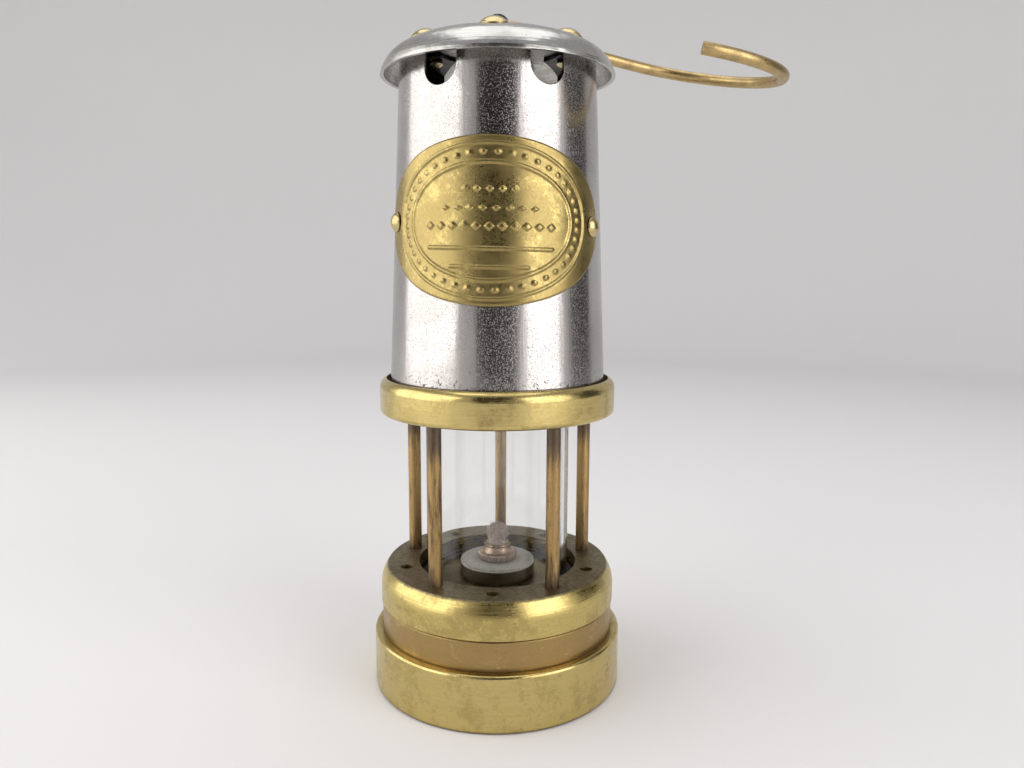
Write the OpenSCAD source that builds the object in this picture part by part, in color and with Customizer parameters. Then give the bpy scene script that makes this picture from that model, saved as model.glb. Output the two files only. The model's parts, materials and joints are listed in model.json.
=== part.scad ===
// Miner's oil safety lamp: fuel vessel, glass, pillars, gauze, bonnet, cap and folding hook.
// The lamp stands on z = 0, its axis is the z axis, and its nameplate faces -y.
// Angles round the lamp are counted from the front (-y) towards +x.

/* [Fuel vessel] */
// Radius of the drum
drum_r = 38; // [37:0.5:42]
// Height of the drum
drum_h = 17; // [14:0.5:19]
// Radius of the neck above the drum
neck_r = 35.5; // [34.5:0.1:36.2]
// Height of the neck's top
neck_top = 25.7; // [24:0.1:25.7]
// Radius of the threaded spigot that the frame screws onto
spigot_r = 24; // [23.6:0.1:24.1]
// Height of the spigot's top plate
plate_top = 32.2; // [31.5:0.1:32.5]

/* [Burner] */
// Radius of the boss round the burner
boss_r = 11.4; // [9:0.1:13]
// Height of the top of the washer on the boss
washer_top = 37.1; // [36:0.1:38]
// Radius of the knurled rim of the wick nut
knurl_r = 5.95; // [5.6:0.05:7]
// Radius of the wick tube
tube_r = 3.5; // [3:0.1:3.6]
// Height of the wick's top
wick_top = 48.4; // [46:0.1:55]

/* [Glass and gauze] */
// Outer radius of the glass
glass_r = 21.8; // [21:0.1:22]
// Wall of the glass
glass_wall = 1.8; // [1.4:0.1:2.5]
// Radius of the gauze at its foot
gauze_r = 18.6; // [16:0.1:19.2]
// Height of the gauze's top
gauze_top = 171; // [150:1:176]

/* [Frame] */
// Radius of the ring that holds the pillars
ring_r = 35.85; // [35.2:0.05:37]
// Height of the pillar ring's underside
ring_foot = 26; // [26:0.05:26.5]
// Height of the pillar ring's top
ring_top = 36.8; // [36:0.1:38]
// Radius of the pillar ring's flat top
ring_flat_r = 33.7; // [33:0.1:34.5]
// Radius of each pillar
pillar_r = 2; // [1.6:0.1:2.4]
// Distance of the pillars from the lamp's axis
pillar_place = 28.3; // [27:0.1:29]
// Radius of the ring below the bonnet
middle_r = 35.26; // [35:0.02:36]
// Height of the middle ring's underside
middle_foot = 83.9; // [80:0.1:84]
// Height of the shelf on which the bonnet stands
bonnet_foot = 91.3; // [91:0.1:92]

/* [Bonnet and cap] */
// Outer radius of the bonnet at its foot
bonnet_r = 32.1; // [31:0.1:32.3]
// How much the bonnet's radius shrinks for each unit of height
bonnet_taper = 0.0418; // [0.03:0.0002:0.05]
// Thickness of the bonnet's sheet
bonnet_wall = 0.9; // [0.6:0.1:1.2]
// Width of each air slot under the cap
slot_w = 10.2; // [8:0.1:12]
// Height of the lowest point of the slots
slot_foot = 173.6; // [170:0.1:176]
// Radius that the cap's corner curve reaches
cap_r = 33.9; // [33:0.1:35]
// Height of the centre of the cap's corner curve
cap_corner_z = 178.5; // [177:0.1:179]
// Height of the cap's rim
cap_rim = 180.65; // [180:0.05:182]
// Thickness of the cap's sheet
cap_wall = 1; // [0.8:0.1:1.2]

/* [Nameplate] */
// Half the width of the plate, measured round the bonnet
plate_half_w = 36; // [30:0.5:38]
// Half the height of the plate
plate_half_h = 22; // [18:0.5:24]
// Height of the plate's centre
plate_z = 138.5; // [125:0.5:145]
// Thickness of the plate
plate_t = 0.9; // [0.5:0.1:1.2]
// Angle from the front to the plate's centre
plate_turn = -1.6; // [-5:0.1:5]
// How far the left end of the plate is tipped up
plate_tilt = 1.1; // [0:0.1:3]

/* [Hook] */
// Radius of the hook's wire
wire_r = 1.65; // [1.4:0.05:1.8]
// Radius of the eye's centre line
eye_r = 5.2; // [5:0.1:5.6]
// Radius of the loop's centre line
loop_r = 28; // [22:0.5:30]
// Distance from the pivot to the loop's centre
loop_place = 54; // [50:0.5:60]
// Angle that the loop turns through
loop_turn = 207; // [180:1:220]
// Height of the hook's pivot above the cap's crown
pivot_rise = 4.26; // [4.2:0.02:5]
// How far the folded hook slopes down
hook_fold = 10.2; // [6:0.1:10.4]
// How far the folded hook leans to one side
hook_roll = 6.9; // [0:0.1:7]

/* [Hidden] */
$fn = 96;

brass = [0.78, 0.63, 0.33];
aged_brass = [0.5, 0.38, 0.2];
copper_brass = [0.66, 0.44, 0.28];
steel = [0.72, 0.7, 0.69];
dark_steel = [0.3, 0.3, 0.29];
pale_fibre = [0.8, 0.79, 0.74];
cotton = [0.86, 0.78, 0.72];
clear = [0.85, 0.92, 0.92, 0.35];

through = 1;

sheet = 1.5;
drum_edge = 1;
base_groove_r = 27;
base_groove_w = 6;
base_groove_d = 0.5;
neck_edge = 0.4;

seal_h = 1;
seal_r = 23;
glass_foot = plate_top + seal_h;
glass_top = middle_foot + 1.3;
glass_bore = glass_r - glass_wall;

boss_shank_r = 8;
boss_bore_r = 5.3;
boss_depth = 6;
washer_h = 0.8;
boss_top = washer_top - washer_h;

nut_gap = 0.1;
nut_foot = washer_top + nut_gap;
knurl_h = 2.3;
knurl_edge = 0.3;
nut_skirt_r = 5;
nut_skirt_h = 6;
nut_cone_r = 4.6;
nut_cone_h = 2;
nut_lip_h = 0.5;
nut_bore_r = tube_r + 0.2;
nut_top = nut_foot + knurl_h + nut_cone_h + nut_lip_h;
tube_foot = 22;
tube_wall = 0.6;
tube_top = nut_top + 0.2;
wick_foot = 4;
wick_r = tube_r - tube_wall;
wick_ball_r = 3.4;

pocket_r = 22.6;
pocket_top = middle_foot + 4.4;
shoulder_r = 20.5;
running_gap = 0.3;
flange_top = pocket_top - running_gap;
flange_h = 1.3;
flange_r = pocket_r - running_gap;
upper_seal_foot = glass_top + running_gap;
gauze_wall = 0.6;
gauze_taper = 0.014;
gauze_cap_h = 22;

ring_bore_r = 24.3;
ring_shoulder_h = ring_top - 31;
ring_shoulder_in = ring_r - ring_flat_r;
ring_shoulder_turn = 2 * atan(ring_shoulder_in / ring_shoulder_h);
ring_shoulder_r = ring_shoulder_h / sin(ring_shoulder_turn);
air_hole_r = 1.85;
air_hole_place = 28.5;
tenon_r = 1.4;
tenon_depth = 6;
tip_r = 2.2;
tip_h = 1.1;

middle_round_top = 3;
middle_round_foot = 1.2;
recess_r = 33.3;
lip_rise = sqrt(pow(middle_round_top, 2) - pow(recess_r - middle_r + middle_round_top, 2));
lip_top = bonnet_foot + 0.2 + lip_rise;

flare_r = 33.1;
flare_h = 0.5;
flare_top = bonnet_foot + 1.8;
slot_z = slot_foot + slot_w / 2;
slot_inner = 14;
slot_reach = 24;
foot_inner_r = 18.5;

cap_corner = 10;
crown_corner = 24.5;
corner_join = 60;
cap_corner_x = cap_r - cap_corner;
crown_x = cap_corner_x + (cap_corner - crown_corner) * cos(corner_join);
crown_centre_z = cap_corner_z + (cap_corner - crown_corner) * sin(corner_join);
crown_z = crown_centre_z + crown_corner;
seat_r = crown_corner - cap_wall;

cap_rivet_place = 23;
cap_rivet_tip = asin((cap_rivet_place - crown_x) / crown_corner);
cap_rivet_r = 3.8;
cap_rivet_h = 1.6;
cap_rivet_shank = 1.5;
cap_rivet_seat = 0.3;
cap_rivet_tail = cap_wall + bonnet_wall + 0.15;

plate_rivet_place = 32.7;
plate_rivet_r = 2.8;
plate_rivet_h = 1.5;
plate_rivet_shank = 1.2;
plate_rivet_seat = 0.2;
plate_rivet_gap = 0.25;

pivot_z = crown_z + pivot_rise;
saddle_w = 3.2;
saddle_bore = 2.2;
saddle_t = 1.2;
saddle_reach = 8.2;
saddle_rivet_place = 5.8;
saddle_rivet_r = 1.4;
saddle_rivet_h = 0.8;
saddle_rivet_shank = 0.9;
tail_h = 0.75;
eye_turn = 285;
shank_angle = asin((loop_r - eye_r) / (loop_place - eye_r));
shank_l = sqrt(pow(loop_place - eye_r, 2) - pow(loop_r - eye_r, 2));
shank_entry = 0.2;
shank_slack = 0.01;

// Points on an arc about [x, y], both ends included.
function arc(x, y, r, from, to, steps) = [for (i = [0:steps])
    let (a = from + (to - from) * i / steps) [x + r * cos(a), y + r * sin(a)]];

// Outer radius of the bonnet's tapered wall at height z.
function wall_r(z) = bonnet_r - bonnet_taper * (z - bonnet_foot);

// Outer radius of the gauze at height z.
function mesh_r(z) = gauze_r - gauze_taper * (z - flange_top);

// Slope of the cap's underside where a wall of the bonnet's radius at that slope's height meets it.
function seat_slope(a) = asin((wall_r(crown_centre_z + seat_r * cos(a)) - crown_x) / seat_r);
foot_slope = seat_slope(seat_slope(seat_slope(30)));
foot_end_slope = asin((foot_inner_r - crown_x) / seat_r);
foot_z = crown_centre_z + seat_r * cos(foot_slope);

// A solid of revolution from [radius, height] points.
module turned(points) {
    rotate_extrude() polygon(points);
}

// A plain ring.
module ring(inner, outer, foot, top) {
    difference() {
        translate([0, 0, foot]) cylinder(r = outer, h = top - foot);
        translate([0, 0, foot - through]) cylinder(r = inner, h = top - foot + 2 * through);
    }
}

// Places its children at an angle round the lamp, at a distance from the axis.
module round_at(angle, distance) {
    rotate(angle) translate([0, -distance, 0]) children();
}

// A dome head above z = 0, sunk by seat, with a shank down to tail and a clenched end below it.
module rivet(head_r, head_h, shank_r, seat, tail) {
    dome_r = (head_r * head_r + head_h * head_h) / (2 * head_h);
    edge = asin(head_r / dome_r);
    turned(concat([[0, -tail - tail_h], [shank_r * 1.5, -tail - tail_h], [shank_r * 1.5, -tail],
        [shank_r, -tail], [shank_r, -seat], [head_r, -seat]],
        arc(0, head_h - dome_r, dome_r, 90 - edge, 90, 8)));
}

module fuel_vessel() {
    color(brass) difference() {
        turned(concat([[0, 0]],
            arc(drum_r - drum_edge, drum_edge, drum_edge, -90, 0, 6),
            arc(drum_r - drum_edge, drum_h - drum_edge, drum_edge, 0, 90, 6),
            [[neck_r - sheet, drum_h], [neck_r - sheet, drum_h - sheet], [drum_r - sheet, drum_h - sheet],
            [drum_r - sheet, sheet], [0, sheet]]));
        ring(base_groove_r, base_groove_r + base_groove_w, -through, base_groove_d);
    }
}

module vessel_neck() {
    color(copper_brass) turned(concat([[neck_r - sheet, drum_h], [neck_r, drum_h]],
        arc(neck_r - neck_edge, neck_top - neck_edge, neck_edge, 0, 90, 4),
        [[spigot_r, neck_top], [spigot_r, neck_top - sheet], [neck_r - sheet, neck_top - sheet]]));
}

module vessel_spigot() {
    color(brass) turned([[spigot_r - sheet, neck_top - 2 * sheet], [spigot_r, neck_top - 2 * sheet],
        [spigot_r, plate_top], [boss_shank_r, plate_top], [boss_shank_r, plate_top - sheet],
        [spigot_r - sheet, plate_top - sheet]]);
}

module fuel_wadding() {
    color(cotton) ring(boss_shank_r, neck_r - 2 * sheet, 2 * sheet, neck_top - 3 * sheet);
}

module burner_boss() {
    color(aged_brass) turned([[boss_bore_r, plate_top - boss_depth], [boss_shank_r, plate_top - boss_depth],
        [boss_shank_r, plate_top], [boss_r, plate_top], [boss_r, boss_top], [boss_bore_r, boss_top]]);
}

module burner_washer() {
    color(pale_fibre) ring(boss_bore_r, boss_r, boss_top, washer_top);
}

module lower_glass_seal() {
    color(dark_steel) ring(glass_bore - sheet, seal_r, plate_top, glass_foot);
}

module glass() {
    color(clear) ring(glass_bore, glass_r, glass_foot, glass_top);
}

module wick_tube() {
    color(brass) ring(wick_r, tube_r, tube_foot, tube_top);
}

module wick() {
    color(cotton) union() {
        translate([0, 0, wick_foot]) cylinder(r = wick_r, h = tube_top - wick_foot);
        turned(concat([[0, tube_top], [wick_r, tube_top]],
            arc(0, wick_top - wick_ball_r, wick_ball_r, -40, 90, 10)));
    }
}

module wick_nut() {
    color(brass) turned([[nut_bore_r, nut_foot - nut_skirt_h], [nut_skirt_r, nut_foot - nut_skirt_h],
        [nut_skirt_r, nut_foot], [knurl_r - knurl_edge, nut_foot], [knurl_r, nut_foot + knurl_edge],
        [knurl_r, nut_foot + knurl_h - knurl_edge], [knurl_r - knurl_edge, nut_foot + knurl_h],
        [nut_cone_r, nut_foot + knurl_h], [tube_r + knurl_edge, nut_top - nut_lip_h],
        [tube_r + 2 * knurl_edge, nut_top - nut_lip_h], [tube_r + 2 * knurl_edge, nut_top],
        [nut_bore_r, nut_top]]);
}

module upper_glass_seal() {
    color(dark_steel) ring(glass_bore - sheet, flange_r, upper_seal_foot, flange_top - flange_h);
}

module gauze_flange() {
    color(steel) ring(gauze_r - gauze_wall, flange_r, flange_top - flange_h, flange_top);
}

module gauze_tube() {
    color(dark_steel) turned([[mesh_r(flange_top) - gauze_wall, flange_top], [mesh_r(flange_top), flange_top],
        [mesh_r(gauze_top), gauze_top], [0, gauze_top], [0, gauze_top - gauze_wall],
        [mesh_r(gauze_top) - gauze_wall, gauze_top - gauze_wall]]);
}

module gauze_cap() {
    foot = gauze_top - gauze_cap_h;
    top = gauze_top + gauze_wall;
    color(dark_steel) turned([[mesh_r(foot), foot], [mesh_r(foot) + gauze_wall, foot],
        [mesh_r(gauze_top) + gauze_wall, top], [0, top], [0, gauze_top], [mesh_r(gauze_top), gauze_top]]);
}

module pillar_ring() {
    color(aged_brass) difference() {
        turned(concat([[ring_bore_r, ring_foot], [ring_r, ring_foot]],
            arc(ring_r - ring_shoulder_r, ring_top - ring_shoulder_h, ring_shoulder_r, 0, ring_shoulder_turn, 8),
            [[ring_bore_r, ring_top]]));
        for (i = [0:4]) {
            round_at(72 * i, air_hole_place) translate([0, 0, ring_foot - through])
                cylinder(r = air_hole_r, h = ring_top - ring_foot + 2 * through);
            round_at(72 * i + 36, pillar_place) translate([0, 0, ring_top - tenon_depth])
                cylinder(r = tenon_r, h = tenon_depth + through);
        }
    }
}

// A pillar with a tenon at each end; index counts from the front right, towards +x.
module pillar(index) {
    color(aged_brass) round_at(72 * index - 36, pillar_place) union() {
        translate([0, 0, ring_top]) cylinder(r = pillar_r, h = middle_foot - ring_top);
        translate([0, 0, ring_top - tenon_depth]) cylinder(r = tenon_r, h = bonnet_foot - ring_top + tenon_depth);
    }
}

module pillar_tips() {
    color(aged_brass) for (i = [0:4]) round_at(72 * i + 36, pillar_place)
        translate([0, 0, bonnet_foot]) cylinder(r1 = tip_r, r2 = tenon_r, h = tip_h);
}

module middle_ring() {
    top_turn = acos((recess_r - middle_r + middle_round_top) / middle_round_top);
    color(brass) difference() {
        turned(concat([[pocket_r, middle_foot]],
            arc(middle_r - middle_round_foot, middle_foot + middle_round_foot, middle_round_foot, -90, 0, 6),
            arc(middle_r - middle_round_top, lip_top - lip_rise, middle_round_top, 0, top_turn, 8),
            [[recess_r, bonnet_foot], [shoulder_r, bonnet_foot], [shoulder_r, pocket_top],
            [pocket_r, pocket_top]]));
        for (i = [0:4]) round_at(72 * i + 36, pillar_place) translate([0, 0, middle_foot - through])
            cylinder(r = tenon_r, h = bonnet_foot - middle_foot + 2 * through);
    }
}

// The six slots between the tabs that carry the cap.
module air_slots() {
    for (i = [0:5]) rotate(60 * i + 30) translate([0, -slot_inner, 0]) rotate([90, 0, 0])
        linear_extrude(slot_reach) union() {
            translate([0, slot_z]) circle(r = slot_w / 2);
            translate([-slot_w / 2, slot_z]) square([slot_w, crown_z - slot_z]);
        }
}

// Moves its children to a cap rivet's place, with z along the cap's normal.
module on_cap(index) {
    rotate(60 * index) translate([0, -crown_x, crown_centre_z]) rotate([cap_rivet_tip, 0, 0])
        translate([0, 0, crown_corner]) children();
}

// Moves its children to a nameplate rivet's place, with z along the plate's normal.
module on_plate(side) {
    z = plate_z - side * plate_rivet_place * sin(plate_tilt);
    rotate(plate_turn + side * plate_rivet_place / wall_r(z) * 180 / PI)
        translate([0, -wall_r(z) - plate_t, z]) rotate([90, 0, 0]) children();
}

module bonnet() {
    color(steel) difference() {
        turned(concat([[flare_r, bonnet_foot], [flare_r, bonnet_foot + flare_h], [wall_r(flare_top), flare_top]],
            arc(crown_x, crown_centre_z, seat_r, 90 - foot_slope, 90 - foot_end_slope, 8),
            arc(crown_x, crown_centre_z, seat_r - bonnet_wall, 90 - foot_end_slope, 90 - foot_slope + 2, 8),
            [[wall_r(flare_top) - bonnet_wall, flare_top], [flare_r - bonnet_wall, bonnet_foot + flare_h],
            [flare_r - bonnet_wall, bonnet_foot]]));
        air_slots();
        for (i = [0:5]) on_cap(i) cylinder(r = cap_rivet_shank, h = 4 * cap_wall, center = true);
        for (side = [-1, 1]) on_plate(side)
            translate([0, 0, -3 * plate_t]) cylinder(r = plate_rivet_shank, h = 4 * plate_t);
    }
}

module cap() {
    rim_out = asin((cap_rim - cap_corner_z) / cap_corner);
    rim_in = asin((cap_rim - cap_corner_z) / (cap_corner - cap_wall));
    color(dark_steel) difference() {
        turned(concat(arc(cap_corner_x, cap_corner_z, cap_corner, rim_out, corner_join, 8),
            arc(crown_x, crown_centre_z, crown_corner, corner_join, 90, 8),
            [[0, crown_z], [0, crown_z - cap_wall]],
            arc(crown_x, crown_centre_z, seat_r, 90, corner_join, 8),
            arc(cap_corner_x, cap_corner_z, cap_corner - cap_wall, corner_join, rim_in, 8)));
        for (i = [0:5]) on_cap(i) {
            cylinder(r = cap_rivet_shank, h = 4 * cap_wall, center = true);
            translate([0, 0, -cap_rivet_seat]) cylinder(r = cap_rivet_r, h = 2 * cap_wall);
        }
        for (side = [-1, 1]) translate([side * saddle_rivet_place, 0, crown_z])
            cylinder(r = saddle_rivet_shank, h = 4 * cap_wall, center = true);
    }
}

module cap_rivets() {
    color(brass) for (i = [0:5]) on_cap(i)
        rivet(cap_rivet_r, cap_rivet_h, cap_rivet_shank, cap_rivet_seat, cap_rivet_tail);
}

// The plate is an ellipse laid round the bonnet, so its outline is found where it is seen from the front.
module nameplate() {
    outline = [for (t = [0:6:354])
        let (round = plate_half_w * cos(t), rise = plate_half_h * sin(t),
            z = plate_z + rise * cos(plate_tilt) - round * sin(plate_tilt),
            angle = (round * cos(plate_tilt) + rise * sin(plate_tilt)) / wall_r(z) * 180 / PI)
        [(wall_r(z) + plate_t) * sin(angle), z]];
    foot = plate_z - 1.2 * plate_half_h;
    top = plate_z + 1.2 * plate_half_h;
    color(brass) difference() {
        rotate(plate_turn) intersection() {
            turned([[wall_r(foot), foot], [wall_r(foot) + plate_t, foot], [wall_r(top) + plate_t, top],
                [wall_r(top), top]]);
            rotate([90, 0, 0]) linear_extrude(drum_r) polygon(outline);
        }
        for (side = [-1, 1]) on_plate(side) {
            cylinder(r = plate_rivet_shank, h = 4 * plate_t, center = true);
            translate([0, 0, -plate_rivet_seat]) cylinder(r = plate_rivet_r, h = plate_t);
        }
    }
}

module plate_rivets() {
    color(brass) for (side = [-1, 1]) on_plate(side)
        rivet(plate_rivet_r, plate_rivet_h, plate_rivet_shank, plate_rivet_seat, plate_t + bonnet_wall + plate_rivet_gap);
}

// A strap bent over the hook's eye, riveted to the crown inside the eye and on the other side.
module hook_saddle() {
    outer = saddle_bore + saddle_t;
    color(brass) difference() {
        translate([0, saddle_w / 2, 0]) rotate([90, 0, 0]) linear_extrude(saddle_w) difference() {
            union() {
                translate([0, pivot_z]) circle(r = outer);
                translate([-outer, crown_z]) square([2 * outer, pivot_rise]);
                translate([-saddle_reach, crown_z]) square([2 * saddle_reach, saddle_t]);
            }
            translate([0, pivot_z]) circle(r = saddle_bore);
            translate([-saddle_bore, crown_z - through]) square([2 * saddle_bore, pivot_rise + through]);
        }
        for (side = [-1, 1]) translate([side * saddle_rivet_place, 0, crown_z - through])
            cylinder(r = saddle_rivet_shank, h = saddle_t + 2 * through);
    }
}

module saddle_rivets() {
    color(aged_brass) for (side = [-1, 1])
        translate([side * saddle_rivet_place, 0, crown_z + saddle_t])
            rivet(saddle_rivet_r, saddle_rivet_h, saddle_rivet_shank, 0, saddle_t + cap_wall);
}

// One piece of wire: the eye under the saddle, a straight shank and the open loop.
// The shank is a hair thinner than the bends, so that its ends enter them cleanly.
module hook() {
    color(brass) translate([0, 0, pivot_z]) rotate([0, hook_fold, 0]) rotate([hook_roll, 0, 0]) union() {
        translate([eye_r, 0, 0]) rotate(90 + shank_angle)
            rotate_extrude(angle = eye_turn) translate([eye_r, 0]) circle(r = wire_r);
        translate([eye_r, 0, 0]) rotate(shank_angle) translate([-shank_entry, eye_r, 0])
            rotate([0, 90, 0]) cylinder(r = wire_r - shank_slack, h = shank_l + 2 * shank_entry);
        translate([loop_place, 0, 0]) rotate(90 + shank_angle - loop_turn)
            rotate_extrude(angle = loop_turn) translate([loop_r, 0]) circle(r = wire_r);
    }
}

fuel_vessel();
vessel_neck();
vessel_spigot();
fuel_wadding();
burner_boss();
burner_washer();
lower_glass_seal();
glass();
wick_tube();
wick();
wick_nut();
upper_glass_seal();
gauze_flange();
gauze_tube();
gauze_cap();
pillar_ring();
pillar(1);  // pillar_1
pillar(2);  // pillar_2
pillar(3);  // pillar_3
pillar(4);  // pillar_4
pillar(5);  // pillar_5
pillar_tips();
middle_ring();
bonnet();
cap();
cap_rivets();
nameplate();
plate_rivets();
hook_saddle();
saddle_rivets();
hook();
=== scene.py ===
"""Looks of the miner's oil safety lamp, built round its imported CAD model. All lengths are in metres."""
import json
import math
import random

import bmesh
import bpy
from mathutils import Matrix, Vector, noise


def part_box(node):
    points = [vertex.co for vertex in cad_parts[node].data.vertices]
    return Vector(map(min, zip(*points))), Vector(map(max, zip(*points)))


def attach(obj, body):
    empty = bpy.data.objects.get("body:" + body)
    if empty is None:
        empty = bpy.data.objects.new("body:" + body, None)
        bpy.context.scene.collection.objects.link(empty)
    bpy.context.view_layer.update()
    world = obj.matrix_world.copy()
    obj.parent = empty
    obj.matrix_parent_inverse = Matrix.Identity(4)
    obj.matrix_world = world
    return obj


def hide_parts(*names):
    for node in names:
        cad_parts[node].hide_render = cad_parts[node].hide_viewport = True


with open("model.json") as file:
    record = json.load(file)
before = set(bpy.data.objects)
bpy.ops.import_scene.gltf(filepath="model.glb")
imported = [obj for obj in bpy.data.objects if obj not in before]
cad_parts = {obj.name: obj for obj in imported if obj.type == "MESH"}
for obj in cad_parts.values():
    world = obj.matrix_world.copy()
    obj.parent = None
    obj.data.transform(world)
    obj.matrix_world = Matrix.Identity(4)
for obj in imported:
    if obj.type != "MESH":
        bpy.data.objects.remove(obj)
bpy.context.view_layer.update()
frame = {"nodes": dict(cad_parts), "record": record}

MM = 0.001
FULL_TURN = 2 * math.pi
BONNET_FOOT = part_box("bonnet")[0].z
BONNET_FOOT_R = 32.1 * MM
BONNET_TAPER = 0.0418
LAMP_MIDDLE = Vector((0, 0, 0.1))
CORNER_SAMPLES = 6


# Camera ------------------------------------------------------------------------------------------

def make_camera():
    """The camera stands a little above the lamp's middle and close to it, and looks slightly down."""
    place = Vector((0.0106, -0.2417, 0.1256))
    pitch = math.radians(7.97)
    pan = math.radians(-1.47)
    roll = math.radians(0.22)
    ahead = Vector((math.sin(pan) * math.cos(pitch), math.cos(pan) * math.cos(pitch), -math.sin(pitch)))
    data = bpy.data.cameras.new("camera")
    data.sensor_width = 36
    data.lens = 28.24
    data.clip_start = 0.01
    camera = bpy.data.objects.new("camera", data)
    camera.matrix_world = (Matrix.Translation(place) @ ahead.to_track_quat("-Z", "Y").to_matrix().to_4x4()
                           @ Matrix.Rotation(roll, 4, "Z"))
    bpy.context.scene.collection.objects.link(camera)
    bpy.context.scene.camera = camera


make_camera()


# Node helpers ------------------------------------------------------------------------------------

class Graph:
    """A material's node tree, with short calls for the nodes that the metals and cloth share."""

    def __init__(self, name):
        self.material = bpy.data.materials.new(name)
        self.material.use_nodes = True
        self.tree = self.material.node_tree
        self.shader = self.tree.nodes["Principled BSDF"]
        place = self.add("TexCoord").outputs["Object"]
        self.mm = self.add("VectorMath", {0: place, "Scale": 1 / MM}, operation="SCALE").outputs[0]
        parts = self.add("SeparateXYZ", {0: self.mm}).outputs
        self.x, self.y, self.z = parts[0], parts[1], parts[2]
        self.radius = self.calc("SQRT", self.calc("ADD", self.calc("MULTIPLY", self.x, self.x),
                                                  self.calc("MULTIPLY", self.y, self.y)))
        self.angle = self.calc("ARCTAN2", self.x, self.calc("MULTIPLY", self.y, -1.0))

    def add(self, kind, inputs=None, **settings):
        made = self.tree.nodes.new("ShaderNode" + kind)
        for key, value in settings.items():
            setattr(made, key, value)
        for key, value in (inputs or {}).items():
            self.set(made.inputs[key], value)
        return made

    def set(self, socket, value):
        if isinstance(value, bpy.types.NodeSocket):
            self.tree.links.new(value, socket)
        else:
            socket.default_value = value

    def calc(self, operation, a, b=0.0, clamp=False):
        return self.add("Math", {0: a, 1: b}, operation=operation, use_clamp=clamp).outputs[0]

    def join(self, x, y, z):
        return self.add("CombineXYZ", {0: x, 1: y, 2: z}).outputs[0]

    def noise(self, size, detail=3.0, rough=0.55, vector=None, warp=0.0):
        """Noise whose lumps are about size millimetres across."""
        inputs = {"Vector": vector or self.mm, "Scale": 1 / size, "Detail": detail, "Roughness": rough,
                  "Distortion": warp}
        return self.add("TexNoise", inputs).outputs[0]

    def ramp(self, value, low, high, out_low=0.0, out_high=1.0):
        inputs = {"Value": value, "From Min": low, "From Max": high, "To Min": out_low, "To Max": out_high}
        return self.add("MapRange", inputs, interpolation_type="SMOOTHSTEP").outputs[0]

    def mix(self, share, a, b, blend="MIX"):
        made = self.add("Mix", data_type="RGBA", blend_type=blend)
        self.set(made.inputs[0], share)
        self.set(made.inputs[6], a if isinstance(a, bpy.types.NodeSocket) else (*a, 1))
        self.set(made.inputs[7], b if isinstance(b, bpy.types.NodeSocket) else (*b, 1))
        return made.outputs[2]

    def bump(self, heights, edge=0.0):
        """Bump from (height, depth in millimetres) pairs, over edges rounded by edge millimetres."""
        normal = None
        if edge:
            normal = self.add("Bevel", {"Radius": edge * MM}, samples=CORNER_SAMPLES).outputs[0]
        for height, depth in heights:
            inputs = {"Height": height, "Distance": depth * MM, "Strength": 1.0}
            if normal:
                inputs["Normal"] = normal
            normal = self.add("Bump", inputs).outputs[0]
        self.set(self.shader.inputs["Normal"], normal)

    def finish(self, colour, rough, metallic=1.0, **uniform):
        self.set(self.shader.inputs["Base Color"], colour)
        self.set(self.shader.inputs["Roughness"], rough)
        self.shader.inputs["Metallic"].default_value = metallic
        for name, value in uniform.items():
            self.shader.inputs[name.replace("_", " ")].default_value = value
        return self.material


def corner_shade_mask(graph, reach):
    """How deep in a corner a point is, from 0 in the open to 1, looking reach millimetres round it: the mask
    for painted shade in corners.
    """
    open_share = graph.add("AmbientOcclusion", {"Distance": reach * MM}, samples=CORNER_SAMPLES).outputs["AO"]
    return graph.ramp(open_share, 0.85, 0.35)


def turned_grain(graph, pitch):
    """Fine rings left by a lathe: they vary along the radius and height, and hardly round the axis."""
    vector = graph.join(graph.radius, graph.z, graph.calc("MULTIPLY", graph.angle, 0.8))
    return graph.noise(pitch, 2.0, 0.6, vector)


# Materials ---------------------------------------------------------------------------------------

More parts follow.
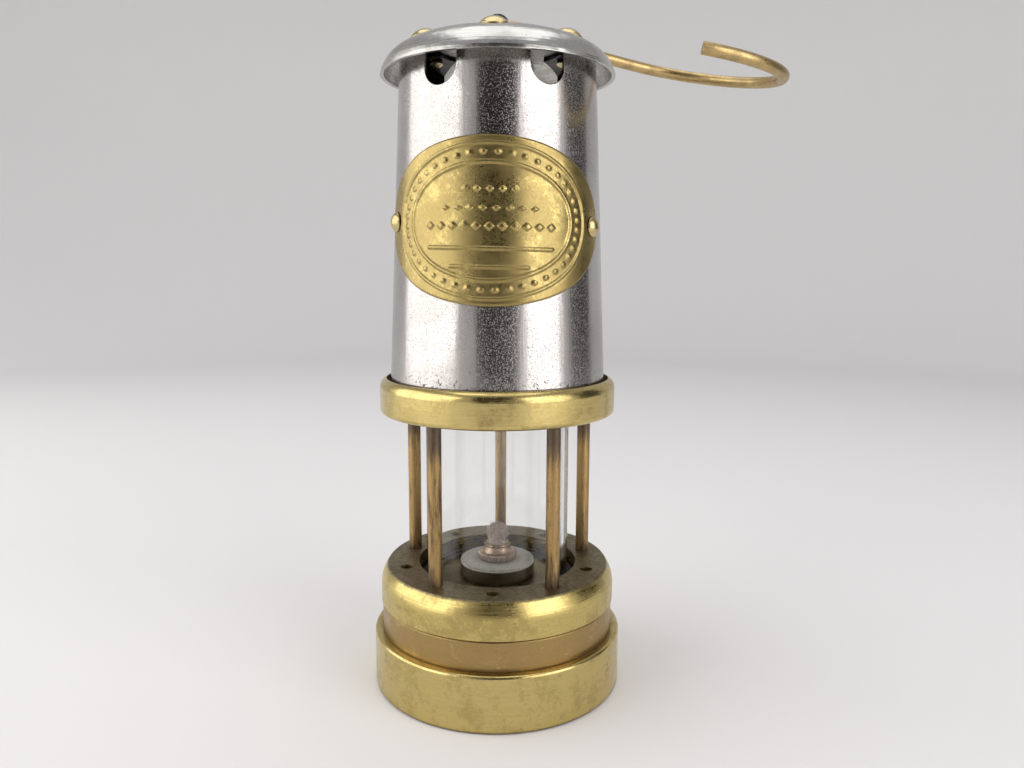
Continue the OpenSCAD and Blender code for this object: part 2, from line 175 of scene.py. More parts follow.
def brass(name, bright, dull, dark, rough=(0.13, 0.28), dull_share=0.5, pits=0.25, shade_share=0.8, turned=True,
          mottle=9.0, crown=None):
    """Worn brass: bright metal under patches of duller patina, lathe lines, stains, pits and painted shade in
    its corners.

    mottle is the patches' size in millimetres. Above the height crown, in millimetres, it is brown and matt.
    """
    g = Graph(name)
    broad = g.noise(mottle, 5.0, 0.6, warp=0.4)
    close = g.noise(mottle / 7, 5.0, 0.65)
    patch = g.calc("ADD", g.calc("MULTIPLY", broad, 0.65), g.calc("MULTIPLY", close, 0.35))
    patina = g.ramp(patch, 0.62 - 0.3 * dull_share, 0.74 - 0.3 * dull_share)
    colour = g.mix(g.calc("MULTIPLY", patina, 0.7), bright, dull)
    lines = turned_grain(g, 0.35) if turned else g.noise(0.5, 3.0)
    colour = g.mix(g.ramp(lines, 0.35, 0.75, 0.0, 0.22), colour, dull)
    stain = g.ramp(g.noise(2.6, 8.0, 0.7, warp=1.0), 0.58, 0.72)
    colour = g.mix(g.calc("MULTIPLY", stain, 0.3), colour, dark)
    speck = g.ramp(g.noise(0.45, 2.0), 0.66, 0.74)
    colour = g.mix(g.calc("MULTIPLY", speck, pits), colour, dark)
    # Painted shade: the colour darkens in corners, where ambient occlusion finds them.
    corner = corner_shade_mask(g, 2.0)
    colour = g.mix(g.calc("MULTIPLY", corner, shade_share), colour, dark)
    low, high = rough
    rub = g.ramp(patch, 0.35, 0.65, low, high)
    if crown:
        flat = g.ramp(g.calc("ADD", g.z, g.calc("MULTIPLY", close, 0.5)), crown - 0.5, crown + 0.1)
        aged = g.mix(g.ramp(close, 0.4, 0.62), (0.2, 0.165, 0.105), (0.13, 0.105, 0.07))
        stained = g.mix(g.calc("MULTIPLY", stain, 0.6), aged, dark)
        colour = g.mix(g.calc("MULTIPLY", flat, 0.9), colour, stained)
        rub = g.calc("ADD", rub, g.calc("MULTIPLY", flat, 0.18))
    rub = g.calc("ADD", rub, g.ramp(lines, 0.3, 0.7, -0.04, 0.08))
    rub = g.calc("ADD", rub, g.calc("MULTIPLY", corner, 0.25), clamp=True)
    scratches = g.noise(0.25, 2.0)
    g.bump([(broad, 0.07), (lines, 0.007), (scratches, 0.006), (speck, -0.05 * pits)], edge=0.35)
    return g.finish(colour, rub)


def pillar_brass():
    """Brown patina, darkest at the pillars' ends, rubbed golden along the middle of their length."""
    g = Graph("pillar_brass")
    low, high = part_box("pillar_ring")[1].z / MM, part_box("middle_ring")[0].z / MM
    run = g.add("MapRange", {"Value": g.z, "From Min": low, "From Max": high}).outputs[0]
    streak = g.noise(1.6, 6.0, 0.65, g.join(g.x, g.y, g.calc("MULTIPLY", g.z, 0.12)))
    grains = g.noise(0.4, 4.0, 0.6)
    wander = g.calc("MULTIPLY", g.calc("SUBTRACT", streak, 0.5), 0.5)
    foot = g.ramp(g.calc("ADD", run, wander), 0.0, 0.12)
    head = g.ramp(g.calc("ADD", run, wander), 0.86, 0.72)
    worn = g.calc("MULTIPLY", g.calc("MULTIPLY", foot, head), g.ramp(streak, 0.3, 0.52))
    gold = g.mix(grains, (0.5, 0.34, 0.14), (0.33, 0.21, 0.09))
    brown = g.mix(grains, (0.09, 0.065, 0.045), (0.17, 0.125, 0.085))
    colour = g.mix(worn, brown, gold)
    fleck = g.ramp(g.noise(0.55, 2.0), 0.64, 0.72)
    colour = g.mix(g.calc("MULTIPLY", fleck, 0.5), colour, (0.1, 0.07, 0.05))
    rub = g.ramp(grains, 0.3, 0.7, 0.34, 0.55)
    g.bump([(streak, 0.1), (grains, 0.05), (fleck, -0.04)])
    return g.finish(colour, rub)


def bonnet_steel():
    """Tinned steel sheet: broad soft sheen, fine dark speckle, rusty pits gathered near the foot, and painted
    shade in its corners.

    Its inner face is painted near black.
    """
    g = Graph("bonnet_steel")
    broad = g.noise(16.0, 4.0, 0.5)
    down = g.noise(3.0, 4.0, 0.55, g.join(g.x, g.y, g.calc("MULTIPLY", g.z, 0.06)))
    tone = g.mix(g.ramp(broad, 0.35, 0.65), (0.54, 0.515, 0.5), (0.46, 0.435, 0.42))
    tone = g.mix(g.ramp(down, 0.4, 0.7, 0.0, 0.3), tone, (0.44, 0.41, 0.39))
    grit = g.ramp(g.noise(0.32, 2.0, 0.6), 0.56, 0.66)
    tone = g.mix(g.calc("MULTIPLY", grit, 0.42), tone, (0.2, 0.17, 0.15))
    foot = BONNET_FOOT / MM
    near_foot = g.ramp(g.z, foot + 12, foot + 2)
    pit = g.ramp(g.calc("ADD", g.noise(0.9, 6.0, 0.7), g.calc("MULTIPLY", near_foot, 0.1)), 0.66, 0.74)
    tone = g.mix(g.calc("MULTIPLY", pit, 0.85), tone, (0.13, 0.09, 0.07))
    rust = g.ramp(g.noise(5.0, 7.0, 0.7, warp=1.5), 0.66, 0.8)
    tone = g.mix(g.calc("MULTIPLY", rust, 0.35), tone, (0.36, 0.24, 0.16))
    # Painted shade: the colour darkens in corners, where ambient occlusion finds them.
    corner = corner_shade_mask(g, 1.6)
    tone = g.mix(g.calc("MULTIPLY", corner, 0.6), tone, (0.12, 0.1, 0.08))
    # The inner face, inside the wall's outer radius, is painted near black.
    taper = g.calc("MULTIPLY", g.calc("SUBTRACT", g.z, foot), -BONNET_TAPER)
    depth_in_wall = g.calc("SUBTRACT", g.calc("ADD", taper, BONNET_FOOT_R / MM), g.radius)
    blackening = g.ramp(depth_in_wall, 0.4, 0.75)
    tone = g.mix(g.calc("MULTIPLY", blackening, 0.93), tone, (0.012, 0.01, 0.009))
    rub = g.calc("ADD", g.ramp(broad, 0.3, 0.7, 0.15, 0.22), g.calc("MULTIPLY", grit, 0.2), clamp=True)
    g.bump([(down, 0.05), (grit, -0.012), (pit, -0.08)], edge=0.15)
    return g.finish(tone, rub)


def cap_steel():
    """Brighter spun steel with rings from the lathe, small dings, a few brown spots and painted shade in its
    corners.
    """
    g = Graph("cap_steel")
    lines = turned_grain(g, 0.3)
    broad = g.noise(11.0, 5.0, 0.55)
    tone = g.mix(g.ramp(broad, 0.35, 0.65), (0.56, 0.55, 0.52), (0.42, 0.41, 0.38))
    tone = g.mix(g.ramp(lines, 0.35, 0.75, 0.0, 0.25), tone, (0.36, 0.35, 0.32))
    spot = g.ramp(g.noise(1.1, 6.0, 0.7), 0.66, 0.74)
    tone = g.mix(g.calc("MULTIPLY", spot, 0.6), tone, (0.2, 0.15, 0.1))
    # Painted shade: the colour darkens in corners, where ambient occlusion finds them.
    corner = corner_shade_mask(g, 2.0)
    tone = g.mix(g.calc("MULTIPLY", corner, 0.7), tone, (0.12, 0.1, 0.08))
    rub = g.calc("ADD", g.ramp(broad, 0.3, 0.7, 0.17, 0.3), g.ramp(lines, 0.3, 0.7, -0.03, 0.08))
    g.bump([(g.noise(6.0, 2.0), 0.25), (lines, 0.012), (spot, -0.05)], edge=0.3)
    return g.finish(tone, rub)


def woven_gauze():
    """Blackened wire cloth: wires cross over and under, with painted shade in the gaps between."""
    g = Graph("woven_gauze")
    pitch, mean_radius = 0.9, 18.0
    around = g.calc("MULTIPLY", g.angle, mean_radius / pitch)
    upward = g.calc("DIVIDE", g.z, pitch)
    across = g.calc("ABSOLUTE", g.calc("SINE", g.calc("MULTIPLY", around, math.pi)))
    along = g.calc("ABSOLUTE", g.calc("SINE", g.calc("MULTIPLY", upward, math.pi)))
    wire = g.calc("MAXIMUM", across, along)
    share = g.ramp(wire, 0.72, 0.9)
    blackening = g.noise(4.0, 6.0, 0.65)
    metal = g.mix(g.ramp(blackening, 0.4, 0.65), (0.09, 0.085, 0.08), (0.03, 0.026, 0.022))
    # Painted shade: the gaps between the wires are painted near black.
    colour = g.mix(share, (0.01, 0.01, 0.01), metal)
    g.bump([(wire, 0.3)])
    return g.finish(colour, g.ramp(blackening, 0.3, 0.7, 0.4, 0.65))


def lamp_glass():
    """Clear glass with faint draw lines, a thin film of dust and a few smears."""
    g = Graph("lamp_glass")
    smear = g.noise(7.0, 5.0, 0.6, warp=1.0)
    dust = g.ramp(g.noise(0.35, 2.0), 0.68, 0.76)
    film = g.mix(g.ramp(smear, 0.45, 0.7, 0.0, 0.5), (0.985, 0.99, 0.985), (0.94, 0.945, 0.935))
    colour = g.mix(g.calc("MULTIPLY", dust, 0.35), film, (0.7, 0.68, 0.63))
    rub = g.calc("ADD", g.ramp(smear, 0.5, 0.75, 0.0, 0.05), g.calc("MULTIPLY", dust, 0.2), clamp=True)
    draw_lines = g.noise(9.0, 1.0, 0.5, g.join(g.x, g.y, g.calc("MULTIPLY", g.z, 0.1)))
    g.bump([(draw_lines, 0.04)])
    return g.finish(colour, rub, 0.0, Transmission_Weight=1.0, IOR=1.46)


def cotton(name, pale, warm, scorched):
    """Cotton yarn: twisted fibres, dusty folds and a scorched tip."""
    g = Graph(name)
    fibre = g.noise(0.35, 4.0, 0.7, g.join(g.x, g.y, g.calc("MULTIPLY", g.z, 0.35)))
    tuft = g.noise(1.5, 4.0, 0.6)
    colour = g.mix(g.ramp(fibre, 0.35, 0.65), warm, pale)
    colour = g.mix(g.ramp(tuft, 0.55, 0.75, 0.0, 0.4), colour, scorched)
    g.bump([(tuft, 0.2), (fibre, 0.15)])
    return g.finish(colour, g.ramp(fibre, 0.3, 0.7, 0.8, 0.95), 0.0, Sheen_Weight=0.3)


def pressed_fibre():
    """Pale pressed fibre with flecks, and a painted shadow round its inner edge."""
    g = Graph("pressed_fibre")
    fleck = g.noise(0.6, 5.0, 0.7)
    # Painted shadow: the fibre darkens towards its inner edge, round the nut.
    nut_shadow = g.ramp(g.calc("ADD", g.radius, g.calc("MULTIPLY", g.noise(2.0, 4.0), 4.0)), 10.5, 7.5)
    colour = g.mix(g.ramp(fleck, 0.4, 0.62), (0.7, 0.685, 0.62), (0.53, 0.51, 0.45))
    colour = g.mix(g.calc("MULTIPLY", nut_shadow, 0.6), colour, (0.34, 0.29, 0.22))
    g.bump([(fleck, 0.06), (g.noise(0.15, 2.0), 0.02)], edge=0.2)
    return g.finish(colour, g.ramp(fleck, 0.3, 0.7, 0.7, 0.9), 0.0)


def seal_rubber():
    """Dull black rubber, greyed with age."""
    g = Graph("seal_rubber")
    bloom = g.noise(1.8, 6.0, 0.65)
    colour = g.mix(g.ramp(bloom, 0.4, 0.7), (0.03, 0.028, 0.026), (0.1, 0.092, 0.08))
    g.bump([(bloom, 0.05), (g.noise(0.2, 2.0), 0.02)], edge=0.2)
    return g.finish(colour, g.ramp(bloom, 0.3, 0.7, 0.6, 0.85), 0.0)


MATERIALS = {
    "polished_brass": brass("polished_brass", (0.6, 0.475, 0.19), (0.44, 0.34, 0.13), (0.15, 0.1, 0.04)),
    "plate_brass": brass("plate_brass", (0.5, 0.395, 0.15), (0.3, 0.225, 0.09), (0.1, 0.07, 0.03),
                         rough=(0.24, 0.38), dull_share=0.8, shade_share=1.0, turned=False),
    "rivet_brass": brass("rivet_brass", (0.6, 0.49, 0.24), (0.42, 0.33, 0.17), (0.16, 0.11, 0.06),
                         turned=False, mottle=3.0),
    "hook_brass": brass("hook_brass", (0.52, 0.38, 0.17), (0.36, 0.26, 0.13), (0.16, 0.11, 0.06),
                        rough=(0.26, 0.42), turned=False, mottle=5.0, pits=0.5),
    "aged_brass": brass("aged_brass", (0.27, 0.22, 0.14), (0.17, 0.14, 0.09), (0.07, 0.055, 0.035),
                        rough=(0.32, 0.5), dull_share=0.9, pits=0.5),
    "ring_brass": brass("ring_brass", (0.58, 0.46, 0.17), (0.4, 0.3, 0.11), (0.14, 0.09, 0.04),
                        rough=(0.2, 0.36), crown=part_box("pillar_ring")[1].z / MM),
    "copper_brass": brass("copper_brass", (0.5, 0.35, 0.14), (0.33, 0.22, 0.09), (0.13, 0.08, 0.04),
                          rough=(0.26, 0.42), dull_share=0.9, pits=0.6, mottle=5.0),
    "nut_brass": brass("nut_brass", (0.46, 0.33, 0.24), (0.3, 0.21, 0.15), (0.12, 0.08, 0.06),
                       rough=(0.25, 0.4), dull_share=0.8, mottle=2.5),
    "pillar_brass": pillar_brass(),
    "bonnet_steel": bonnet_steel(),
    "cap_steel": cap_steel(),
    "gauze_steel": woven_gauze(),
    "lamp_glass": lamp_glass(),
    "cotton": cotton("cotton", (0.62, 0.52, 0.44), (0.46, 0.36, 0.3), (0.22, 0.16, 0.13)),
    "pale_fibre": pressed_fibre(),
    "seal_rubber": seal_rubber(),
}


def paint_nodes():
    """Gives each CAD node its material: the record's slot, or a closer match for a few nodes."""
    closer = {f"pillar_{index}": "pillar_brass" for index in range(1, 6)}
    closer["pillar_ring"] = "ring_brass"
    for part in frame["record"]["subparts"]:
        name = part["node"]
        mesh = frame["nodes"][name].data
        mesh.materials.clear()
        mesh.materials.append(MATERIALS[closer.get(name, part["material_slot"])])


paint_nodes()


# Pieces ------------------------------------------------------------------------------------------

def place_piece(name, mesh_or_curve, body, material, slot, *replaced):
    """Adds a piece in the row frame, with its material and body, in place of the replaced CAD nodes. Its slot
    is not used.
    """
    piece = bpy.data.objects.new(name, mesh_or_curve)
    bpy.context.scene.collection.objects.link(piece)
    mesh_or_curve.materials.append(MATERIALS[material])
    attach(piece, body)
    if replaced:
        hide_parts(*replaced)
    return piece


def mesh_from(name, points, faces, smooth=True):
    mesh = bpy.data.meshes.new(name)
    mesh.from_pydata(points, [], faces)
    mesh.validate()
    for face in mesh.polygons:
        face.use_smooth = smooth
    return mesh


def ease(t):
    """A smooth step from 0 to 1."""
    t = min(max(t, 0.0), 1.0)
    return t * t * (3 - 2 * t)


PLATE_HALF_W = 36 * MM
PLATE_HALF_H = 22 * MM
PLATE_TURN = math.radians(-1.6)
PLATE_TILT = math.radians(1.1)
PLATE_THICK = 0.9 * MM
PLATE_Z = 138.5 * MM
BEAD_LIFT = 0.42 * MM


def bonnet_radius(z):
    """Outer radius of the bonnet at height z, between its foot and its slots."""
    return BONNET_FOOT_R - BONNET_TAPER * (z - BONNET_FOOT)


def bead(distance, half_width):
    """A round raised line: its height where a point is that distance from the line's middle."""
    share = abs(distance) / half_width
    return math.sqrt(1 - share * share) if share < 1 else 0.0


def bar_height(across, up, half_length, at, half_width):
    """A raised bar with round ends, along the plate."""
    past = max(abs(across) - half_length, 0.0)
    return bead(math.hypot(past, up - at), half_width)


def lozenge_height(across, up, x, y, half_w, half_h):
    """A raised lozenge with sloping sides."""
    return ease((1 - abs(across - x) / half_w - abs(up - y) / half_h) * 2.2)


def oval_gap(across, up, half_x, half_y):
    """Distance from a point to an oval, below 0 inside it."""
    oval = math.hypot(across / half_x, up / half_y)
    slope = math.hypot(across / half_x ** 2, up / half_y ** 2) / max(oval, 1e-6)
    return (oval - 1) / max(slope, 1e-6)


OUTER_OVAL = (28.0 * MM, 20.0 * MM)
INNER_OVAL = (23.0 * MM, 15.2 * MM)
STUD_OVAL = (25.6 * MM, 17.7 * MM)
STUD_COUNT = 44
STUD_RADIUS = 0.75 * MM
STUDS = [(STUD_OVAL[0] * math.cos(turn), STUD_OVAL[1] * math.sin(turn))
         for turn in (FULL_TURN * (index + 0.5) / STUD_COUNT for index in range(STUD_COUNT))]
# Each row is (height on the plate, count, step, half width, half height), and each bar (half length, height).
LOZENGE_ROWS = [(8.3 * MM, 5, 3.2 * MM, 1.1 * MM, 0.95 * MM), (3.4 * MM, 8, 3.4 * MM, 1.2 * MM, 0.8 * MM),
                (-1.2 * MM, 11, 3.3 * MM, 1.45 * MM, 1.35 * MM)]
BARS = [(16.9 * MM, -6.9 * MM), (10.3 * MM, -11.7 * MM)]
LINE_HALF_W = 0.5 * MM
INNER_LINE_HALF_W = 0.55 * MM
RIM_WIDTH = 1.4 * MM
LOZENGES = [((index - (count - 1) / 2) * step, up, half_w, half_h)
            for up, count, step, half_w, half_h in LOZENGE_ROWS for index in range(count)]


def plate_relief(across, up):
    """Height of the stamped relief, from 0 to 1: two oval beads, studs, lozenges and two plain bars."""
    outer = oval_gap(across, up, *OUTER_OVAL)
    inner = oval_gap(across, up, *INNER_OVAL)
    rim = 0.3 * ease(outer / RIM_WIDTH)
    height = max(bead(outer, LINE_HALF_W), bead(inner, INNER_LINE_HALF_W), rim)
    if -LINE_HALF_W < inner and outer < LINE_HALF_W:
        for x, y in STUDS:
            height = max(height, 0.8 * bead(math.hypot(across - x, up - y), STUD_RADIUS))
    elif inner < 0:
        for x, y, half_w, half_h in LOZENGES:
            height = max(height, 0.9 * lozenge_height(across, up, x, y, half_w, half_h))
        for half_length, at in BARS:
            height = max(height, bar_height(across, up, half_length, at, LINE_HALF_W))
    return height


def plate_point(across, up, lift):
    """A point of the plate in the row frame: the flat oval is tilted, then wrapped round the bonnet."""
    round_way = across * math.cos(PLATE_TILT) + up * math.sin(PLATE_TILT)
    z = PLATE_Z + up * math.cos(PLATE_TILT) - across * math.sin(PLATE_TILT)
    angle = round_way / bonnet_radius(z) + PLATE_TURN
    radius = bonnet_radius(z) + lift
    return (radius * math.sin(angle), -radius * math.cos(angle), z)


def oval_rings(rings, segments, centre_lifts, point):
    """A closed skin of ovals between two centres. Each ring is (share of the oval, lift function)."""
    points = [point(0.0, 0.0, centre_lifts[0])]
    for share, lift in rings:
        for step in range(segments):
            turn = FULL_TURN * step / segments
            across, up = PLATE_HALF_W * share * math.cos(turn), PLATE_HALF_H * share * math.sin(turn)
            points.append(point(across, up, lift(across, up)))
    points.append(point(0.0, 0.0, centre_lifts[1]))
    last = len(points) - 1
    faces = []
    for step in range(segments):
        after = (step + 1) % segments
        faces.append((0, 1 + step, 1 + after))
        for ring in range(len(rings) - 1):
            first, second = 1 + ring * segments, 1 + (ring + 1) * segments
            faces.append((first + step, second + step, second + after, first + after))
        final = 1 + (len(rings) - 1) * segments
        faces.append((final + step, last, final + after))
    return points, faces


def make_nameplate():
    """The stamped plate: relief on its face, a rounded edge, and a plain back on the bonnet."""
    face_rings, back_rings, segments = 130, 12, 460
    crowding = 1.15
    edge_drop, edge_width = 0.28 * MM, 0.5 * MM
    back_gap = 0.03 * MM

    def face_lift(across, up):
        edge = oval_gap(across, up, PLATE_HALF_W, PLATE_HALF_H)
        rounding = edge_drop * ease(1 + edge / edge_width)
        return PLATE_THICK - BEAD_LIFT + BEAD_LIFT * plate_relief(across, up) - rounding

    def back_lift(across, up):
        return back_gap

    rings = [(1 - (1 - ring / face_rings) ** crowding, face_lift) for ring in range(1, face_rings + 1)]
    rings += [(ring / back_rings, back_lift) for ring in range(back_rings, 0, -1)]
    points, faces = oval_rings(rings, segments, (PLATE_THICK - BEAD_LIFT, back_gap), plate_point)
    mesh = mesh_from("nameplate_relief", points, faces)
    place_piece("nameplate_relief", mesh, "frame", "plate_brass", "polished_brass", "nameplate")


def lathe_mesh(name, profile, segments, shape=None):
    """Turns a closed profile of (radius, height) points round the axis; shape may move each point."""
    points = []
    for radius, z in profile:
        for step in range(segments):
            angle = FULL_TURN * step / segments
            point = Vector((radius * math.sin(angle), -radius * math.cos(angle), z))
            points.append(shape(point, angle) if shape else point)
    faces = []
    for ring in range(len(profile)):
        first, second = ring * segments, (ring + 1) % len(profile) * segments
        for step in range(segments):
            after = (step + 1) % segments
            faces.append((first + step, first + after, second + after, second + step))
    mesh = mesh_from(name, points, faces)
    built = bmesh.new()
    built.from_mesh(mesh)
    bmesh.ops.remove_doubles(built, verts=built.verts, dist=0.001 * MM)
    bmesh.ops.dissolve_degenerate(built, edges=built.edges, dist=0.0001 * MM)
    bmesh.ops.recalc_face_normals(built, faces=built.faces)
    built.to_mesh(mesh)
    built.free()
    return mesh


def finely(points, step):
    """The same closed profile with points at most step apart."""
    fine = []
    for index, (radius, z) in enumerate(points):
        next_radius, next_z = points[(index + 1) % len(points)]
        count = max(1, math.ceil(math.hypot(next_radius - radius, next_z - z) / step))
        fine += [(radius + (next_radius - radius) * part / count, z + (next_z - z) * part / count)
                 for part in range(count)]
    return fine


def make_wick_nut():
    """The nut with its diamond knurling, stepped cone and turned lip."""
    low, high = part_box("wick_nut")
    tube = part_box("wick_tube")[1].x
    rim = high.x
    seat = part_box("burner_washer")[1].z + 0.1 * MM
    bore, skirt = tube + 0.2 * MM, 5.0 * MM
    top = high.z
    profile = [(bore, low.z), (skirt, low.z), (skirt, seat), (rim - 0.35 * MM, seat), (rim, seat + 0.35 * MM),
               (rim, seat + 1.95 * MM), (rim - 0.35 * MM, seat + 2.3 * MM), (4.9 * MM, seat + 2.3 * MM),
               (4.7 * MM, seat + 2.45 * MM), (4.15 * MM, seat + 3.2 * MM), (3.85 * MM, seat + 4.2 * MM),
               (4.08 * MM, seat + 4.35 * MM), (4.1 * MM, top - 0.15 * MM), (3.98 * MM, top), (bore, top)]
    teeth, slant, cut_depth = 40, 1.15 / MM, 0.32 * MM

    def knurl(point, angle):
        radius = math.hypot(point.x, point.y)
        if radius < rim - 0.4 * MM:
            return point
        one = abs(math.sin(teeth / 2 * angle + slant * point.z))
        other = abs(math.sin(teeth / 2 * angle - slant * point.z))
        cut = cut_depth * (1 - min(1.0, 1.6 * min(one, other)))
        return Vector((point.x * (radius - cut) / radius, point.y * (radius - cut) / radius, point.z))

    mesh = lathe_mesh("wick_nut_knurled", finely(profile, 0.16 * MM), 400, knurl)
    place_piece("wick_nut_knurled", mesh, "wick_nut", "nut_brass", "polished_brass", "wick_nut")


def make_wick():
    """A twisted cotton cord whose burnt end has opened into a frayed ball."""
    low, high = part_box("wick")
    stem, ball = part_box("wick_tube")[1].x - 0.75 * MM, 3.15 * MM
    centre = high.z - 3.5 * MM
    stem_steps, ball_steps = 60, 26
    stem_length = centre - 2.2 * MM - low.z
    ball_start = -0.75
    profile = [(0.0, low.z), (stem, low.z + 0.2 * MM)]
    profile += [(stem, low.z + stem_length * step / stem_steps) for step in range(1, stem_steps + 1)]
    profile += [(ball * math.cos(turn), centre + ball * math.sin(turn))
                for turn in (ball_start + (math.pi / 2 - ball_start) * step / ball_steps
                             for step in range(ball_steps + 1))]
    strands, twist = 9, 0.32 / MM

    def fray(point, angle):
        radius = math.hypot(point.x, point.y)
        if radius < 0.02 * MM:
            return point
        loose = ease((point.z - centre + 3 * MM) / (2 * MM))
        cord = 0.22 * MM * abs(math.sin(strands / 2 * angle + twist * point.z)) * (1 - 0.5 * loose)
        tuft = 0.95 * MM * loose * noise.fractal(point * 620, 0.7, 2.2, 4)
        scale = (radius - 0.15 * MM + cord + tuft) / radius
        return Vector((point.x * scale, point.y * scale, point.z + 0.5 * tuft))

    mesh = lathe_mesh("wick_cord", profile, 150, fray)
    place_piece("wick_cord", mesh, "wick_set", "cotton", "cotton", "wick")
    add_wick_fibres(centre, ball)


def add_wick_fibres(centre, ball):
    """Loose fibres that stand out of the wick's frayed ball, which has its middle at the height centre."""
    fibres, bends = 420, 5
    draw = random.Random(11)
    curve = bpy.data.curves.new("wick_fibres", "CURVE")
    curve.dimensions = "3D"
    curve.bevel_depth = 0.055 * MM
    curve.bevel_resolution = 1
    for _ in range(fibres):
        turn, rise = draw.uniform(0, FULL_TURN), draw.uniform(-0.35, 1.0)
        level = math.sqrt(1 - rise * rise)
        out = Vector((level * math.sin(turn), -level * math.cos(turn), rise))
        side = Vector((draw.uniform(-1, 1), draw.uniform(-1, 1), draw.uniform(-0.4, 1)))
        side = (side - out * side.dot(out)).normalized()
        reach = draw.uniform(0.3, 0.75) * MM * (1.6 if rise > 0.75 else 1)
        spline = curve.splines.new("POLY")
        spline.points.add(bends)
        for index, dot in enumerate(spline.points):
            part = index / bends
            spot = (Vector((0, 0, centre)) + out * (ball * 0.9 + reach * math.sin(part * math.pi * 0.62))
                    + side * (part ** 1.4) * draw.uniform(0.9, 1.5) * MM)
            dot.co = (*spot, 1)
            dot.radius = 1 - 0.6 * part
    place_piece("wick_fibres", curve, "wick_set", "cotton", "cotton")


def make_spigot_thread():
    """The thread that the pillar ring screws onto, hidden until the frame is raised."""
    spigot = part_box("vessel_spigot")[1].x
    core, crest, pitch = spigot - 0.05 * MM, spigot + 0.2 * MM, 1.5 * MM
    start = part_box("vessel_neck")[1].z + 0.5 * MM
    turns, steps, fade = 3, 96, 20
    flank = 0.45
    points, faces = [], []
    for step in range(turns * steps + 1):
        angle = FULL_TURN * step / steps
        run_out = min(1.0, step / fade, (turns * steps - step) / fade)
        z = start + pitch * step / steps
        for radius, shift in ((core, -flank), (core + (crest - core) * run_out, 0.0), (core, flank)):
            height = z + shift * pitch
            points.append((radius * math.sin(angle), -radius * math.cos(angle), height))
        if step:
            here, before = 3 * step, 3 * step - 3
            for edge in range(3):
                after = (edge + 1) % 3
                faces.append((before + edge, before + after, here + after, here + edge))
    faces += [(0, 2, 1), (len(points) - 3, len(points) - 2, len(points) - 1)]
    mesh = mesh_from("spigot_thread", points, faces, smooth=False)
    place_piece("spigot_thread", mesh, "vessel", "aged_brass", "aged_brass")


def make_bonnet_seam():
    """The lap at the back, where the rolled sheet of the bonnet overlaps itself."""
    low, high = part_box("bonnet")
    foot, top = low.z + 3.4 * MM, high.z - 14.0 * MM
    half_w, shoulder, crest, lift, crown_lift, root = 3.2, 3.0, 1.0, 0.28, 0.34, -0.15
    outline = [(-half_w, 0.0), (-shoulder, lift), (-crest, crown_lift), (crest, crown_lift), (shoulder, lift),
               (half_w, 0.0), (0.0, root)]
    levels = 60
    points, faces = [], []
    for level in range(levels + 1):
        z = foot + (top - foot) * level / levels
        for across, height in outline:
            radius = bonnet_radius(z) + height * MM
            angle = math.pi + across * MM / radius
            points.append((radius * math.sin(angle), -radius * math.cos(angle), z))
        if level:
            here, before = level * len(outline), (level - 1) * len(outline)
            for edge in range(len(outline)):
                after = (edge + 1) % len(outline)
                faces.append((before + edge, before + after, here + after, here + edge))
    faces += [tuple(range(len(outline)))[::-1], tuple(range(len(points) - len(outline), len(points)))]
    mesh = mesh_from("bonnet_seam", points, faces, smooth=False)
    place_piece("bonnet_seam", mesh, "frame", "bonnet_steel", "bonnet_steel")


make_nameplate()
make_wick_nut()
make_wick()
make_spigot_thread()
make_bonnet_seam()


# Studio ------------------------------------------------------------------------------------------

def plain_material(name, colour):
    """A matt material of one colour, for the floor and the reflection cards."""
    return Graph(name).finish((*colour, 1), 0.9, 0.0, Specular_IOR_Level=0.1)


def make_floor():
    """A pale floor that curves up into a pale wall all round, so no edge shows behind the lamp."""
    flat, bend, wall = 0.9, 0.5, 1.6
    segments, bend_steps = 96, 16
    profile = [(flat * 0.3, 0.0), (flat, 0.0)]
    profile += [(flat + bend * math.sin(turn), bend - bend * math.cos(turn))
                for turn in (math.pi / 2 * step / bend_steps for step in range(1, bend_steps + 1))]
    profile.append((flat + bend, wall))
    turns = [FULL_TURN * step / segments for step in range(segments)]
    points = [Vector((radius * math.cos(turn), radius * math.sin(turn), z))
              for radius, z in profile for turn in turns]
    points.append(Vector((0, 0, 0)))
    faces = [(len(points) - 1, step, (step + 1) % segments) for step in range(segments)]
    for ring in range(len(profile) - 1):
        first, second = ring * segments, (ring + 1) * segments
        for step in range(segments):
            after = (step + 1) % segments
            faces.append((first + step, second + step, second + after, first + after))
    mesh = mesh_from("floor", points, faces)
    mesh.materials.append(plain_material("floor", (0.8, 0.79, 0.785)))
    floor = bpy.data.objects.new("floor", mesh)
    bpy.context.scene.collection.objects.link(floor)


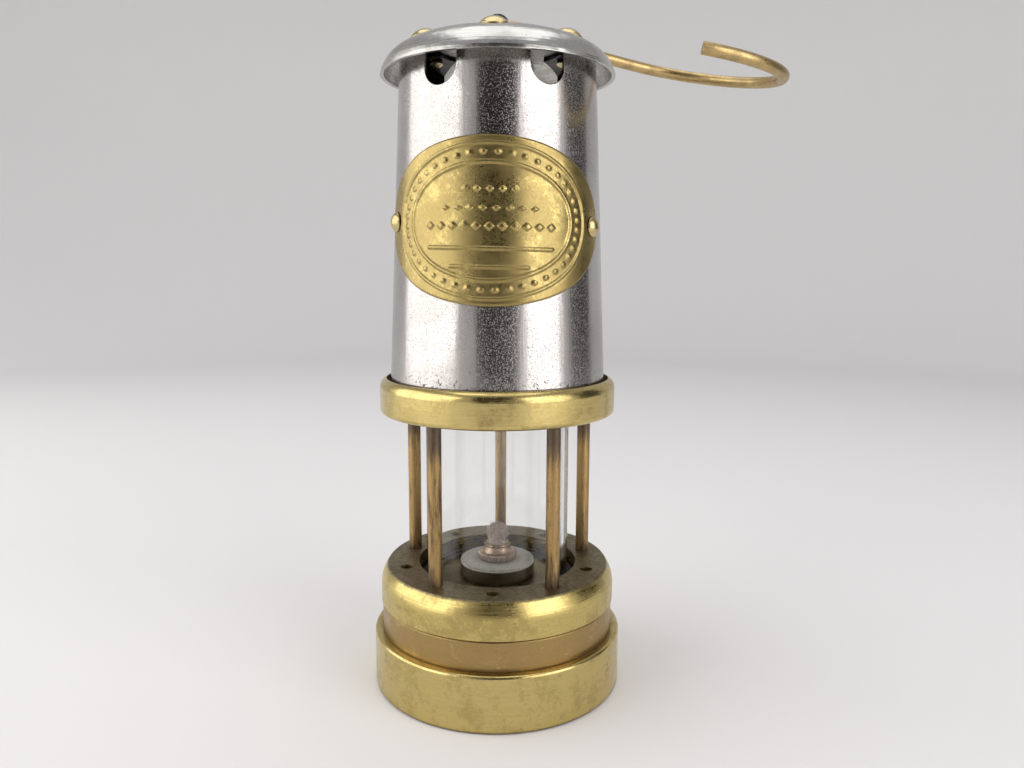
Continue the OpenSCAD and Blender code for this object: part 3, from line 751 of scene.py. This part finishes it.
def aim(place):
    """Stands something at place with its -z side towards the lamp's middle."""
    turn = (LAMP_MIDDLE - Vector(place)).to_track_quat("-Z", "Y")
    return Matrix.Translation(place) @ turn.to_matrix().to_4x4()


def area_light(name, place, size, power, colour=(1, 1, 1)):
    """A rectangular light that the camera doesn't see."""
    data = bpy.data.lights.new(name, "AREA")
    data.shape = "RECTANGLE"
    data.size, data.size_y = size
    data.energy = power
    data.color = colour
    lamp = bpy.data.objects.new(name, data)
    lamp.matrix_world = aim(place)
    lamp.visible_camera = False
    bpy.context.scene.collection.objects.link(lamp)


def reflection_card(name, place, size, colour):
    """A card that only reflections see."""
    half_w, half_h = size[0] / 2, size[1] / 2
    points = [(-half_w, -half_h, 0), (half_w, -half_h, 0), (half_w, half_h, 0), (-half_w, half_h, 0)]
    mesh = mesh_from(name, points, [(0, 1, 2, 3)], smooth=False)
    mesh.materials.append(plain_material(name, colour))
    card = bpy.data.objects.new(name, mesh)
    card.matrix_world = aim(place)
    card.visible_camera = False
    card.visible_shadow = False
    card.visible_diffuse = False
    card.visible_transmission = False
    bpy.context.scene.collection.objects.link(card)


def make_studio():
    """A dim even room, a window at each side, a light above, and two dark cards for the metal to reflect."""
    world = bpy.data.worlds.new("studio")
    bpy.context.scene.world = world
    world.use_nodes = True
    background = world.node_tree.nodes["Background"]
    background.inputs["Color"].default_value = (0.95, 0.96, 1.0, 1)
    background.inputs["Strength"].default_value = 0.45
    area_light("left_window", (-0.77, -0.2, 0.35), (1.2, 0.9), 6.5, (1.0, 0.99, 0.97))
    area_light("right_window", (0.62, -0.5, 0.3), (0.62, 0.9), 4.2, (1.0, 0.98, 0.98))
    area_light("top", (0.0, 0.1, 1.0), (0.8, 0.8), 2.8)
    reflection_card("front_card", (0.02, -0.75, 0.3), (0.6, 1.3), (0.025, 0.022, 0.02))
    reflection_card("right_card", (0.8, 0.15, 0.2), (0.5, 0.9), (0.07, 0.07, 0.07))


make_floor()
make_studio()
bpy.context.scene.view_settings.view_transform = "Standard"
